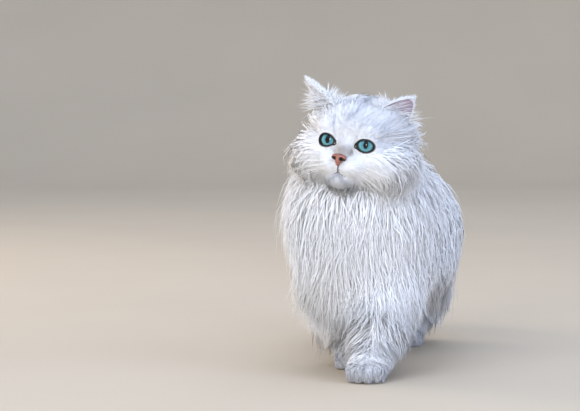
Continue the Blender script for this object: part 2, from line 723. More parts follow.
def style_of(points, normals, labels):
    """For each root: length, width, lift of the tip, cling, clumping, and how often a tuft strays."""
    n = len(points)
    length, lift, clump = np.zeros(n), np.zeros(n), np.zeros(n)
    cling, width, wild = np.full(n, 0.5), np.full(n, 1.2), np.full(n, 0.06)
    head = labels == HEAD_LABEL
    if head.any():
        local = in_head(points[head])
        away = from_face(local)
        base = np.interp(away, (0, 12, 22, 36, 50, 66, 90), (3.2, 4.6, 6.8, 13, 24, 34, 40))
        x, y, z = np.abs(local[:, 0]), local[:, 1], local[:, 2]
        cheek = ease(x, 20, 44) * ease(-z, -14, 12)
        crown = ease(z, 14, 34) * ease(-y, -34, 6) * (1 - ease(x, 16, 30))
        throat = ease(-z, 32, 42)
        beard = ease(-z, 30, 38) * ease(-y, 16, 30)
        temple = ease(x, 20, 33) * ease(z, -22, -6) * (1 - ease(z, 8, 26)) * ease(y, -36, -16)
        ruff = base * (1 + 0.6 * cheek - 0.3 * crown + 0.5 * throat + 0.9 * beard + 0.45 * temple)
        for side in SIDES.values():
            eye = in_eye(points[head], side)
            rim = lid_ratio(eye)
            close = np.maximum(ease(rim, 1.15, 3.6), ease(eye[:, 1], 0, 20))
            ruff = np.minimum(ruff, 2.6 + 44 * close)
        length[head] = ruff
        lift[head] = 0.5 + 0.16 * ruff + 0.27 * ruff * ease(ruff, 9, 34) * (1 - 0.25 * crown)
        nape = ease(y, 6, 34) * ease(40 - z, 0, 30)
        lift[head] *= (1 + 0.4 * temple - 0.15 * cheek) * (1 - 0.45 * nape)
        length[head] *= 1 + 0.3 * nape
        wild[head] = 0.025 + 0.12 * ease(z, 30, 40)
        width[head] = np.interp(ruff, (2, 8, 20, 40), (0.42, 0.60, 0.80, 1.0))
        clump[head] = 0.12 + 0.32 * ease(ruff, 10, 40) + 0.15 * nape
        cling[head] = 0.8 - 0.45 * ease(ruff, 10, 40)
    trunk = labels == TRUNK_LABEL
    if trunk.any():
        p = points[trunk]
        chest = ease(-p[:, 1], 30, 90)
        low = ease(210 - p[:, 2], 0, 100)
        span = 44 + 26 * low
        bib = 76 - 24 * ease(130 - p[:, 2], 0, 50)
        length[trunk] = span * (1 - chest) + bib * chest
        neck = ease(p[:, 2], 178, 206) * ease(-p[:, 1], 35, 65)
        lift[trunk] = (6.5 + 6 * low) * (1 - chest) + 16.5 * chest + 3.5 * neck
        width[trunk] = 1.1
        clump[trunk] = 0.38 - 0.22 * chest
        cling[trunk] = 0.62 - 0.56 * low
    tail = labels == TAIL_LABEL
    if tail.any():
        length[tail], lift[tail], width[tail] = 72, 30, 1.3
        clump[tail], cling[tail] = 0.45, 0.25
    leg = ~(head | trunk | tail)
    if leg.any():
        p = points[leg]
        back = ease(normals[leg][:, 1], 0.0, 0.8)
        span = np.interp(p[:, 2], (0, 14, 30, 48, 70, 150), (9, 12, 20, 34, 48, 60))
        span = span * (1 + 0.45 * back * ease(p[:, 2], 22, 50))
        length[leg] = span
        long = 0.14 * span + 0.20 * span * ease(span, 12, 40)
        lift[leg] = 1.5 + long * (1 - 0.5 * ease(p[:, 2], 70, 130))
        width[leg] = np.interp(span, (5, 12, 30, 60), (0.55, 0.65, 0.85, 1.05))
        clump[leg] = 0.3 + 0.1 * ease(span, 12, 40)
        cling[leg] = 0.75 - 0.4 * ease(span, 15, 50)
        wild[leg] = 0.06 + 0.1 * ease(30 - p[:, 2], 0, 10)
    return {"length": length, "lift": lift, "width": width, "clump": clump, "cling": cling, "wild": wild}


class Coat:
    """Grows tufts from the settled skin and joins them into pieces."""

    def __init__(self, flesh, skin):
        self.flesh = flesh
        mesh = skin.data
        mesh.calc_loop_triangles()
        tris = np.empty(len(mesh.loop_triangles) * 3, np.int32)
        mesh.loop_triangles.foreach_get("vertices", tris)
        loops = np.empty(len(mesh.loop_triangles) * 3, np.int32)
        mesh.loop_triangles.foreach_get("loops", loops)
        uv = np.empty(len(mesh.loops) * 2, np.float32)
        mesh.uv_layers["OFBake"].data.foreach_get("uv", uv)
        self.points = points_of(mesh)
        self.tris = tris.reshape(-1, 3)
        self.uv = uv.reshape(-1, 2)[loops.reshape(-1, 3)]
        a, b, c = (self.points[self.tris[:, i]] for i in range(3))
        self.middles = (a + b + c) / 3
        self.areas = np.linalg.norm(np.cross(b - a, c - a), axis=1) / 2
        _, self.normals, labels = flesh.read(self.middles, labels=True)
        # A paw, which comes after the tail, counts with its leg
        self.labels = np.where(labels > TAIL_LABEL, labels - TAIL_LABEL + 1, labels)

    def roots(self, count, density, rng):
        weight = self.areas * density
        ends = np.cumsum(weight)
        picks = (np.arange(count) + rng.random(count)) * ends[-1] / count
        tri = np.minimum(np.searchsorted(ends, picks), len(ends) - 1)
        u, v = rng.random(count), rng.random(count)
        over = u + v > 1
        u[over], v[over] = 1 - u[over], 1 - v[over]
        share = np.stack([1 - u - v, u, v], axis=1)
        points = (self.points[self.tris[tri]] * share[:, :, None]).sum(1)
        uv = (self.uv[tri] * share[:, :, None]).sum(1)
        _, normals = self.flesh.read(points)
        return points, normals, uv, self.labels[tri]

    def comb(self, points, normals, labels, style, rng):
        """The path of each tuft over the skin, tip last."""
        n = len(points)
        span = style["length"] * rng.uniform(0.7, 1.2, n)
        path = np.empty((n, TUFT_STEPS + 1, 3))
        ups = np.empty((n, TUFT_STEPS + 1, 3))
        path[:, 0], ups[:, 0] = points - normals * 0.6, normals
        here = points.copy()
        up = normals.copy()
        # Most tufts end within a few millimetres of the coat's surface, which closes it
        loose = np.minimum(np.maximum(3.0, 0.18 * style["lift"]) / (style["lift"] + 0.1), 0.42)
        layer = 1.06 - loose * rng.random(n) ** 1.5
        wild = rng.random(n) < style["wild"]
        stray = unit(rng.normal(size=(n, 3))) * np.where(wild, 0.42, 0.2)[:, None]
        wave = unit(rng.normal(size=(n, 3))) * rng.uniform(0.15, 0.45, n)[:, None]
        phase = rng.uniform(0, 2 * math.pi, n)
        sway = np.sin(points @ np.array([[0.11, 0.05], [0.07, -0.12], [-0.09, 0.08]]) + (0.4, 1.7))
        bend = 0.26 * (sway[:, :1] * (1, 0, 0) + sway[:, 1:] * (0, 1, 0))
        for j in range(1, TUFT_STEPS + 1):
            s = j / TUFT_STEPS
            lie = lie_of(here, labels) + stray + bend * s + wave * np.sin(4.2 * s + phase)[:, None]
            lie[:, 2] -= 0.35 * s * ease(style["length"], 24, 70)
            flat = unit(lie - up * (lie * up).sum(1, keepdims=True))
            free = ease(style["length"], 20, 60) * (1 - style["cling"])
            run = unit(flat * (1 - free[:, None] * s) + unit(lie) * free[:, None] * s)
            here = here + run * (span / TUFT_STEPS)[:, None]
            value, up = self.flesh.read(here)
            want = style["lift"] * (1 - (1 - s) ** 2.4) * np.where(wild, 1.4, layer)
            gap = want - value
            pull = np.where(gap > 0, 1.0, style["cling"] * 0.8)
            here = here + up * (gap * pull)[:, None]
            here[:, 2] = np.maximum(here[:, 2], 0.6)
            path[:, j], ups[:, j] = here, up
        return path, ups

    def gather(self, points, path, strength, guides):
        """Draws each tuft's tip towards that of a nearby leading tuft."""
        tree = KDTree(len(guides))
        for i, g in enumerate(guides):
            tree.insert(points[g], i)
        tree.balance()
        lead = guides[np.array([tree.find(p)[1] for p in points])]
        steps = path.shape[1] - 1
        for j in range(1, steps + 1):
            share = (strength * (j / steps) ** 1.3)[:, None]
            move = (path[lead, j] - path[:, j]) * share
            path[:, j] += move * np.minimum(1, 9 / (np.linalg.norm(move, axis=1, keepdims=True) + 1e-6))
        return path

    def grow(self, name, count, density, seed, widen, fluff):
        """One coat piece: closed tapering tufts, rooted on the skin where density says."""
        rng = np.random.default_rng(seed)
        points, normals, uv, labels = self.roots(count, density, rng)
        style = style_of(points, normals, labels)
        # Just over half the tufts are a broad, short undercoat, and the others fine guard hair over it
        under = rng.random(count) < 0.55
        style["length"] = style["length"] * np.where(under, 0.78, 1.0)
        style["lift"] = style["lift"] * np.where(under, 0.86, 1.0)
        style["width"] = style["width"] * np.where(under, 1.45, 0.58)
        path, ups = self.comb(points, normals, labels, style, rng)
        for share, many in ((0.6, PER_LOCK * 6), (0.3, PER_LOCK)):
            guides = rng.permutation(count)[: max(8, count // many)]
            path = self.gather(points, path, share * style["clump"] * rng.uniform(0.4, 1.1, count), guides)
        width = style["width"] * rng.uniform(0.7, 1.25, count) * widen
        tone = rng.uniform(0.32, 0.8, count)
        marks = marks_of(points)
        # The undercoat low on the body is smoky, and shows between the locks
        low = ease(128 - points[:, 2], 0, 55) * ease(points[:, 2], 22, 48)
        marks[:, 1] += 0.27 * low * under * (rng.random(count) < 0.7)
        return tuft_mesh(name, path, ups, width, uv, tone, rng, marks, fluff)


def tuft_mesh(name, path, ups, width, uv, tone, rng, marks, fluff):
    """Closed three-sided tufts along the paths, each on its own small patch of the OFBake map."""
    n, rings = path.shape[0], path.shape[1] - 1
    profile = np.interp(np.arange(rings) / rings, (0, 0.3, 0.7, 1), (0.75, 1.0, 0.8, 0.2))
    roll = rng.uniform(-0.9, 0.9, n)
    points = np.empty((n, rings * 3 + 1, 3))
    facing = np.empty((n, rings * 3 + 1, 3))
    for j in range(rings):
        ahead = unit(path[:, j + 1] - path[:, max(j - 1, 0)])
        side = unit(np.cross(ahead, ups[:, j]))
        up = np.cross(side, ahead)
        turned = side * np.cos(roll)[:, None] + up * np.sin(roll)[:, None]
        over = up * np.cos(roll)[:, None] - side * np.sin(roll)[:, None]
        wide = (width * profile[j] / 2)[:, None]
        points[:, 3 * j] = path[:, j] - turned * wide
        points[:, 3 * j + 1] = path[:, j] + turned * wide
        points[:, 3 * j + 2] = path[:, j] + over * wide * 0.8
        for k, own in enumerate((-turned - 0.27 * over, turned - 0.27 * over, over)):
            facing[:, 3 * j + k] = unit((1 - fluff) * unit(own) + fluff * ups[:, j])
    points[:, -1] = path[:, -1]
    facing[:, -1] = ups[:, -1]
    faces, patch = [(0, 1, 2)], [((0.1, 0), (0.9, 0), (0.5, 0))]
    for j in range(rings):
        y0, y1 = j / rings, (j + 1) / rings
        for k in range(3):
            a, b = 3 * j + k, 3 * j + (k + 1) % 3
            x0, x1 = k / 3, (k + 1) / 3
            if j < rings - 1:
                c, d = b + 3, a + 3
                faces += [(b, a, c), (c, a, d)]
                patch += [((x1, y0), (x0, y0), (x1, y1)), ((x1, y1), (x0, y0), (x0, y1))]
            else:
                faces.append((b, a, 3 * rings))
                patch.append(((x1, y0), (x0, y0), ((x0 + x1) / 2, y1)))
    faces = np.array(faces)
    each = rings * 3 + 1
    every = (faces[None] + each * np.arange(n)[:, None, None]).reshape(-1, 3)
    obj = mesh_of(name, points.reshape(-1, 3), every)
    layer = obj.data.uv_layers.new(name="OFBake")
    small = np.array(patch) * PATCH
    spots = (uv[:, None, None, :] + small[None] - PATCH / 2).clip(0.0005, 0.9995)
    layer.data.foreach_set("uv", spots.astype(np.float32).ravel())
    along = np.append(np.repeat(np.arange(rings) / rings, 3), 1.0)
    paint(obj.data, "tone", tone[:, None] * 0.55 + 0.42 * along[None] ** 0.7)
    paint(obj.data, "mark", np.repeat(marks[:, 0], each))
    paint(obj.data, "mark_cool", np.repeat(marks[:, 1], each))
    # Light falls on each tuft nearly as on the body below it, so the coat reads as one soft mass
    if fluff:
        values = obj.data.attributes.new("custom_normal", "FLOAT_VECTOR", "POINT")
        values.data.foreach_set("vector", facing.astype(np.float32).ravel())
        obj.data.update()
    return obj


def finish(obj, material, slot, *nodes):
    obj.data.materials.clear()
    obj.data.materials.append(material)
    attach(obj, "root")
    if nodes:
        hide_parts(*nodes)
    return obj


def tube(name, line, radii, sides=8, up=None):
    """A closed tube through the points, of that radius or (across, high) at each."""
    line = np.asarray(line, float)
    n = len(line)
    ahead = unit(np.gradient(line, axis=0))
    up = np.tile((0.0, 0.0, 1.0), (n, 1)) if up is None else np.asarray(up, float)
    side = unit(np.cross(ahead, up))
    over = np.cross(side, ahead)
    radii = np.asarray(radii, float)
    if radii.ndim == 1:
        radii = np.stack([radii, radii], axis=1)
    angle = np.linspace(0, 2 * math.pi, sides, endpoint=False)
    ring = (
        side[:, None] * np.cos(angle)[None, :, None] * radii[:, 0, None, None]
        + over[:, None] * np.sin(angle)[None, :, None] * radii[:, 1, None, None]
    )
    points = (line[:, None] + ring).reshape(-1, 3)
    faces = []
    for j in range(n - 1):
        for k in range(sides):
            a, b = j * sides + k, j * sides + (k + 1) % sides
            faces += [(a, b, b + sides), (a, b + sides, a + sides)]
    for k in range(1, sides - 1):
        faces.append((0, k + 1, k))
        last = (n - 1) * sides
        faces.append((last, last + k, last + k + 1))
    return mesh_of(name, points, faces)


def join(name, pieces):
    """The pieces as one object."""
    bm = bmesh.new()
    for piece in pieces:
        bm.from_mesh(piece.data)
    mesh = bpy.data.meshes.new(name)
    bm.to_mesh(mesh)
    bm.free()
    for piece in pieces:
        bpy.data.objects.remove(piece)
    obj = bpy.data.objects.new(name, mesh)
    bpy.context.scene.collection.objects.link(obj)
    return obj


# ---------------------------------------------------------------- settings a user may change


def colour_of(label, about, text):
    return FloatVectorProperty(
        name=label, description=about, subtype="COLOR", default=from_hex(text), min=0, max=1,
    )


class CatLook(PropertyGroup):
    coat_tip: colour_of("Coat tips", "Colour of the ends of the long hair", "#fcfdff")
    coat_middle: colour_of("Coat", "Colour of the long hair", "#f9fbfe")
    coat_depth: colour_of("Coat depth", "Colour of the hair near its roots", "#f1f5fa")
    down: colour_of("Down", "Colour of the down on the skin", "#eff1f5")
    shade: colour_of("Smoky shade", "Colour of the nose's bridge and the belly", "#94877a")
    shade_cool: colour_of("Cool shade", "Colour of the mouth, the brow's streaks and the paws", "#8b93a3")
    iris_inner: colour_of("Iris, inner", "Colour round the pupil", "#357580")
    iris_middle: colour_of("Iris, middle", "Colour of the iris", "#4a909b")
    iris_outer: colour_of("Iris, outer", "Colour of the pale ring", "#78b0ba")
    nose: colour_of("Nose leather", "Colour of the bare nose", "#b27363")
    ear_inside: colour_of("Left ear, inside", "Colour of the bare skin in the left ear", "#ab97a6")
    ear_pale: colour_of(
        "Right ear, inside", "Colour of the skin in the right ear, where more light comes through",
        "#d9c3ca",
    )
    floor: colour_of("Floor", "Colour of the studio floor and wall", "#c2b6a4")
    hair_width: FloatProperty(
        name="Hair width", description="Width of the tufts against the first choice",
        default=1.0, min=0.2, max=3, subtype="FACTOR",
    )
    coat_amount: FloatProperty(
        name="Coat amount", description="How many tufts, against the full coat",
        default=1.0, min=0.05, max=1.0, subtype="FACTOR",
    )
    skin_step: FloatProperty(
        name="Skin detail", description="Spacing of the skin's net, in metres",
        default=0.0024, unit="LENGTH",
    )
    seed: IntProperty(name="Seed", description="Start of the random draws", default=7)


# What one operator makes and a later one needs: the flesh, the coat that grows on it, and its material
BUILT = {}


def look():
    return bpy.context.scene.cat_look


class CAT_OT_stage(Operator):
    """Pale floor and wall, soft studio light, and the camera"""
    bl_idname = "cat.stage"
    bl_label = "Stage"

    def execute(self, context):
        scene = context.scene
        bm = bmesh.new()
        # A round floor that curves up into a wall on every side
        cove = np.linspace(0, math.pi / 2, 16)
        outline = [(3.0, 0.0)]
        outline += [(3.4 + 1.2 * math.sin(a), 1.2 - 1.2 * math.cos(a)) for a in cove] + [(4.6, 2.6)]
        rings = [
            [bm.verts.new((far * math.cos(a), far * math.sin(a), z))
             for a in np.linspace(0, 2 * math.pi, 96, endpoint=False)]
            for far, z in outline
        ]
        bm.faces.new(rings[0])
        for low, high in zip(rings, rings[1:]):
            for i in range(len(low)):
                k = (i + 1) % len(low)
                bm.faces.new((low[i], high[i], high[k], low[k])).smooth = low is not rings[0]
        mesh = bpy.data.meshes.new("floor")
        bm.to_mesh(mesh)
        bm.free()
        floor = bpy.data.objects.new("floor", mesh)
        scene.collection.objects.link(floor)
        made, tree, shader = new_material("studio_board_matt_painted")
        where = add(tree, "TexCoord").outputs["Object"]
        mottle = add(tree, "TexNoise", Vector=where, Scale=3.0, Detail=2.0).outputs["Fac"]
        base = look().floor
        stops = ((0.3, [0.96 * c for c in base]), (0.7, base))
        colour = add(tree, "ValToRGB", stops=stops, _0=mottle).outputs["Color"]
        wire(tree, shader, Base_Color=colour, Roughness=0.7)
        mesh.materials.append(made)
        for name, (at, aim, size, power, colour) in LAMPS.items():
            light = bpy.data.lights.new(name, "AREA")
            light.shape = "RECTANGLE"
            light.size, light.size_y = size
            light.energy = power
            light.color = from_hex(colour)
            obj = bpy.data.objects.new(name, light)
            obj.location = at
            obj.rotation_euler = (Vector(aim) - Vector(at)).to_track_quat("-Z", "Y").to_euler()
            # Only one lamp is mirrored in the eyes, and it lights nothing else
            obj.visible_glossy = name == "catchlight"
            obj.visible_diffuse = name != "catchlight"
            scene.collection.objects.link(obj)
        world = bpy.data.worlds.new("studio_air")
        scene.world = world
        world.use_nodes = True
        back = world.node_tree.nodes["Background"]
        wire(world.node_tree, back, Color=(*from_hex(AIR_COLOUR), 1), Strength=AIR_STRENGTH)
        scene.view_settings.view_transform = "Standard"
        # Light goes on from hair to hair in a white coat
        scene.cycles.diffuse_bounces = 8
        self.camera(scene)
        return {"FINISHED"}

    def camera(self, scene):
        """A long lens to the cat's left and a little above it, which puts the cat right of the middle."""
        azimuth, elevation = math.radians(CAMERA_AZIMUTH), math.radians(CAMERA_ELEVATION)
        out = Vector((
            math.sin(azimuth) * math.cos(elevation), -math.cos(azimuth) * math.cos(elevation),
            math.sin(elevation),
        ))
        ahead = -out
        right = ahead.cross(Vector((0, 0, 1))).normalized()
        up = right.cross(ahead)
        swing = Matrix.Rotation(math.atan(CAMERA_SWING / CAMERA_FOCAL), 3, up)
        ahead, right = swing @ ahead, swing @ right
        nod = Matrix.Rotation(math.atan(CAMERA_NOD / CAMERA_FOCAL), 3, right)
        ahead, up = nod @ ahead, nod @ up
        data = bpy.data.cameras.new("camera")
        data.sensor_fit = "HORIZONTAL"
        data.sensor_width = 36
        data.lens = 36 * CAMERA_FOCAL / PICTURE_WIDE
        camera = bpy.data.objects.new("camera", data)
        turned = Matrix((right, up, -ahead)).transposed().to_4x4()
        camera.matrix_world = Matrix.Translation(Vector(place(CAMERA_AIM)) + out * CAMERA_FAR) @ turned
        scene.collection.objects.link(camera)
        scene.camera = camera


class CAT_OT_skin(Operator):
    """The skin of the whole animal in one piece, and the flow of its coat"""
    bl_idname = "cat.skin"
    bl_label = "Skin"

    def execute(self, context):
        flesh = cat_flesh()
        step = look().skin_step / MM
        values, low = flesh.grid(step)
        points, quads = net_of(values, low, step)
        points = settle(flesh, points)
        skin = mesh_of("skin", points, quads)
        self.refine_face(skin, flesh)
        self.open_eyes(skin)
        self.unwrap(skin)
        made = skin_under_fur(look())
        finish(
            skin, made, "coat", "head", "neck", "torso", "tail_root", "tail_plume",
            "foreleg_left", "foreleg_right", "hindleg_left", "hindleg_right",
            "paw_fore_left", "paw_fore_right", "paw_hind_left", "paw_hind_right",
        )
        BUILT["flesh"] = flesh
        BUILT["coat"] = Coat(flesh, skin)
        BUILT["hair"] = guard_hair(look())
        return {"FINISHED"}

    def refine_face(self, skin, flesh):
        """Halves the net's spacing on the front of the head, and lays it on the flesh again."""
        bm = bmesh.new()
        bm.from_mesh(skin.data)
        bm.edges.ensure_lookup_table()
        middles = np.array([(e.verts[0].co + e.verts[1].co) / 2 for e in bm.edges]) / MM - SHIFT
        local = in_head(middles)
        near = (local[:, 1] < -14) & (np.abs(local[:, 0]) < 46) & (np.abs(local[:, 2] + 6) < 44)
        chosen = [e for e, take in zip(bm.edges, near) if take]
        bmesh.ops.subdivide_edges(bm, edges=chosen, cuts=1, use_grid_fill=True)
        bmesh.ops.triangulate(bm, faces=[f for f in bm.faces if len(f.verts) > 4])
        bm.to_mesh(skin.data)
        bm.free()
        points = settle(flesh, points_of(skin.data), 2)
        points[:, 2] = np.maximum(points[:, 2], 0.4)
        skin.data.polygons.foreach_set("use_smooth", np.ones(len(skin.data.polygons), bool))
        move_points(skin.data, points)

    def open_eyes(self, skin):
        """Draws the skin back inside the eyeball where the lids are open, and darkens lids and lips."""
        points = points_of(skin.data)
        dark = np.zeros(len(points))
        for side in SIDES.values():
            eye = in_eye(points, side)
            rim = lid_ratio(eye)
            front = (eye[:, 1] < -2) & (np.linalg.norm(eye, axis=1) < 22)
            dark = np.maximum(dark, front * (1 - ease(rim, 1.12, 1.36)))
            inside = front & (rim < 1.02)
            far = np.linalg.norm(eye[inside], axis=1, keepdims=True)
            eye[inside] *= 8.5 / far
            points[inside] = moved(eye[inside], eye_frame(side))
        local = in_head(points)
        mouth = (np.abs(local[:, 0]) < 9) * (local[:, 1] < -30) * np.exp(-((local[:, 2] + 34.5) / 2.0) ** 2)
        marks = marks_of(points)
        paint(skin.data, "dark", np.maximum(dark, 0.5 * mouth))
        paint(skin.data, "mark", marks[:, 0])
        paint(skin.data, "mark_cool", marks[:, 1])
        move_points(skin.data, points)

    def unwrap(self, skin):
        skin.data.uv_layers.new(name="OFBake")
        bpy.context.view_layer.objects.active = skin
        skin.select_set(True)
        bpy.ops.object.mode_set(mode="EDIT")
        bpy.ops.mesh.select_all(action="SELECT")
        bpy.ops.uv.smart_project(angle_limit=math.radians(66), island_margin=0.004)
        bpy.ops.object.mode_set(mode="OBJECT")
        skin.select_set(False)


class CAT_OT_eyes(Operator):
    """Both eyes with their irises, and the dark rims of the lids"""
    bl_idname = "cat.eyes"
    bl_label = "Eyes"

    def execute(self, context):
        wet = wet_iris(look())
        dark = plain_skin("lid_rim_bare_wet", from_hex("#151011"), 0.6, 0.6, 0.15)
        for name, side in SIDES.items():
            bm = bmesh.new()
            bmesh.ops.create_uvsphere(bm, u_segments=48, v_segments=32, radius=EYE_RADIUS * MM,
                                      matrix=Matrix.Rotation(math.radians(90), 4, "X"))
            for vert in bm.verts:
                off = math.hypot(vert.co.x, vert.co.z) / MM
                if vert.co.y < 0 and off < 9.5:
                    vert.co.y -= 1.3 * MM * (1 - (off / 9.5) ** 2) ** 2
            for face in bm.faces:
                face.smooth = True
            mesh = bpy.data.meshes.new("eyeball_" + name)
            bm.to_mesh(mesh)
            bm.free()
            eye = bpy.data.objects.new("eyeball_" + name, mesh)
            bpy.context.scene.collection.objects.link(eye)
            centre = Vector(place(eye_frame(side).translation))
            eye.matrix_world = Matrix.Translation(centre) @ turn(*GAZE[name], HEAD_TURN[2])
            finish(eye, wet, "eye", "eye_" + name)
            finish(self.rim("lid_rim_" + name, side), dark, "coat")
        return {"FINISHED"}

    def rim(self, name, side):
        """A soft dark cord of skin along the edge of the lids, thicker above."""
        angle = np.linspace(0, 2 * math.pi, 49)[:-1]
        across = (EYE_OPENING[0] + 0.5) * np.cos(angle)
        tall = (EYE_OPENING[1] + 0.5) * np.sin(angle)
        # The inner corner, by the nose, runs to a dark point that dips
        inner = ease(-side * np.cos(angle), 0.80, 1.0)
        across -= side * 2.3 * inner
        tall -= 1.8 * inner
        far = EYE_RADIUS + 0.9
        depth = -np.sqrt(np.maximum(far ** 2 - across ** 2 - tall ** 2, 4))
        line = np.stack([across, depth, tall], axis=1)
        up = unit(line)
        frame = eye_frame(side)
        # Where the skin lies ahead of the eyeball, the rim comes forward to it
        front = -np.array(frame)[:3, 1]
        for _ in range(5):
            value, slope = BUILT["flesh"].read(moved(line, frame))
            short = np.clip(-0.1 - value, 0, 3) / np.maximum(slope @ front, 0.4)
            line[:, 1] -= short
        wide = 0.58 + 0.5 * np.clip(np.sin(angle), 0, 1) + 0.7 * inner
        n, sides = len(line), 8
        along = unit(np.roll(line, -1, axis=0) - np.roll(line, 1, axis=0))
        out = unit(np.cross(along, up))
        spin = np.linspace(0, 2 * math.pi, sides, endpoint=False)
        ring = (out[:, None] * (wide[:, None] * np.cos(spin))[..., None]
                + up[:, None] * (0.7 * np.sin(spin))[None, :, None])
        points = moved((line[:, None] + ring).reshape(-1, 3), frame)
        faces = []
        for j in range(n):
            for k in range(sides):
                a, b = j * sides + k, j * sides + (k + 1) % sides
                c, d = ((j + 1) % n) * sides + (k + 1) % sides, ((j + 1) % n) * sides + k
                faces.append((a, d, c, b))
        return mesh_of(name, points, faces)


class CAT_OT_nose(Operator):
    """The brick-pink nose leather with its nostrils, and the line of the mouth"""
    bl_idname = "cat.nose"
    bl_label = "Nose and mouth"

    def execute(self, context):
        flesh, holes = Flesh().group("nose", 1.0), Flesh().group("holes", 0.6)
        for shapes, body in ((NOSE_MASSES, flesh), (NOSTRILS, holes)):
            for centre, radii in shapes:
                body.pair(centre, radii, HEAD)
        values, low = flesh.grid(NOSE_STEP, 4.0)
        axes = [low[i] + NOSE_STEP * np.arange(values.shape[i]) for i in range(3)]
        where = np.stack(np.meshgrid(*axes, indexing="ij"), axis=-1).reshape(-1, 3)
        bored = np.maximum(values.ravel(), -holes.read(where)[0]).reshape(values.shape)
        points, quads = net_of(bored, low, NOSE_STEP)
        nose = mesh_of("nose_leather", points, quads)
        soften = nose.modifiers.new("Soften", "SMOOTH")
        soften.factor, soften.iterations = 0.5, 4
        graph = bpy.context.evaluated_depsgraph_get()
        nose.data = bpy.data.meshes.new_from_object(nose.evaluated_get(graph))
        nose.modifiers.clear()
        spots = points_of(nose.data)
        local = in_head(spots)
        deep = 1 - ease(holes.read(spots)[0], 0.1, 1.3)
        rim = 0.55 * ease(local[:, 2], -14.6, -12.6) + 0.45 * ease(-local[:, 2], 23.0, 25.0)
        paint(nose.data, "dark", np.clip(deep + rim, 0, 1))
        leather = plain_skin("nose_leather_pebbled", tuple(look().nose), 0.42, 0.7, 0.12, 0.72)
        finish(nose, leather, "nose_leather", "nose")
        lip = plain_skin("lip_skin_bare_dark", from_hex("#6a5c63"), 0.6, 0.8, 0.1, 0.8)
        finish(self.mouth(), lip, "coat")
        return {"FINISHED"}

    def mouth(self):
        """The cleft below the nose and both lips, as one dark seam in the fur."""
        flesh = BUILT["flesh"]
        front = -np.array(HEAD)[:3, 1]
        count = 18
        pieces = []
        for line in (CLEFT, LIP, [(-x, z) for x, z in LIP]):
            t = np.linspace(0, len(line) - 1, count)
            x, z = (np.interp(t, range(len(line)), [p[i] for p in line]) for i in (0, 1))
            points = moved(np.stack([x, -48 + 0.25 * np.abs(x), z], axis=1), HEAD)
            # Straight ahead or back until it lies on the flesh
            for _ in range(6):
                value, slope = flesh.read(points)
                points = points - (value / np.maximum(slope @ front, 0.4))[:, None] * front
            _, slope = flesh.read(points)
            fade = np.linspace(1, 1 if line is CLEFT else 0.3, count)
            radii = np.stack([0.6 * fade, 0.4 * fade], axis=1)
            pieces.append(tube("seam", points + slope * 1.5, radii, 6, slope))
        return join("mouth_line", pieces)


class EarShape:
    """The middle layer of an ear in its own frame: u across from -1 to 1, and up from 0 to 1."""

    def __init__(self, height):
        self.height = height

    def at(self, u, up):
        half = EAR_HALF_WIDTH * (1 - up ** 1.7) ** 0.75 + 2.5
        return np.stack([
            half * np.sin(u * EAR_BOW) / math.sin(EAR_BOW),
            0.62 * half * (np.cos(u * EAR_BOW) - math.cos(EAR_BOW)),
            self.height * up - EAR_SUNK,
        ], axis=-1)

    def rise(self, u, up, e):
        return self.at(u, np.clip(up + e, 0, 1)) - self.at(u, np.clip(up - e, 0, 1))

    def outward(self, u, up):
        e = 0.01
        across = self.at(np.clip(u + e, -1, 1), up) - self.at(np.clip(u - e, -1, 1), up)
        return unit(np.cross(self.rise(u, up, e), across))


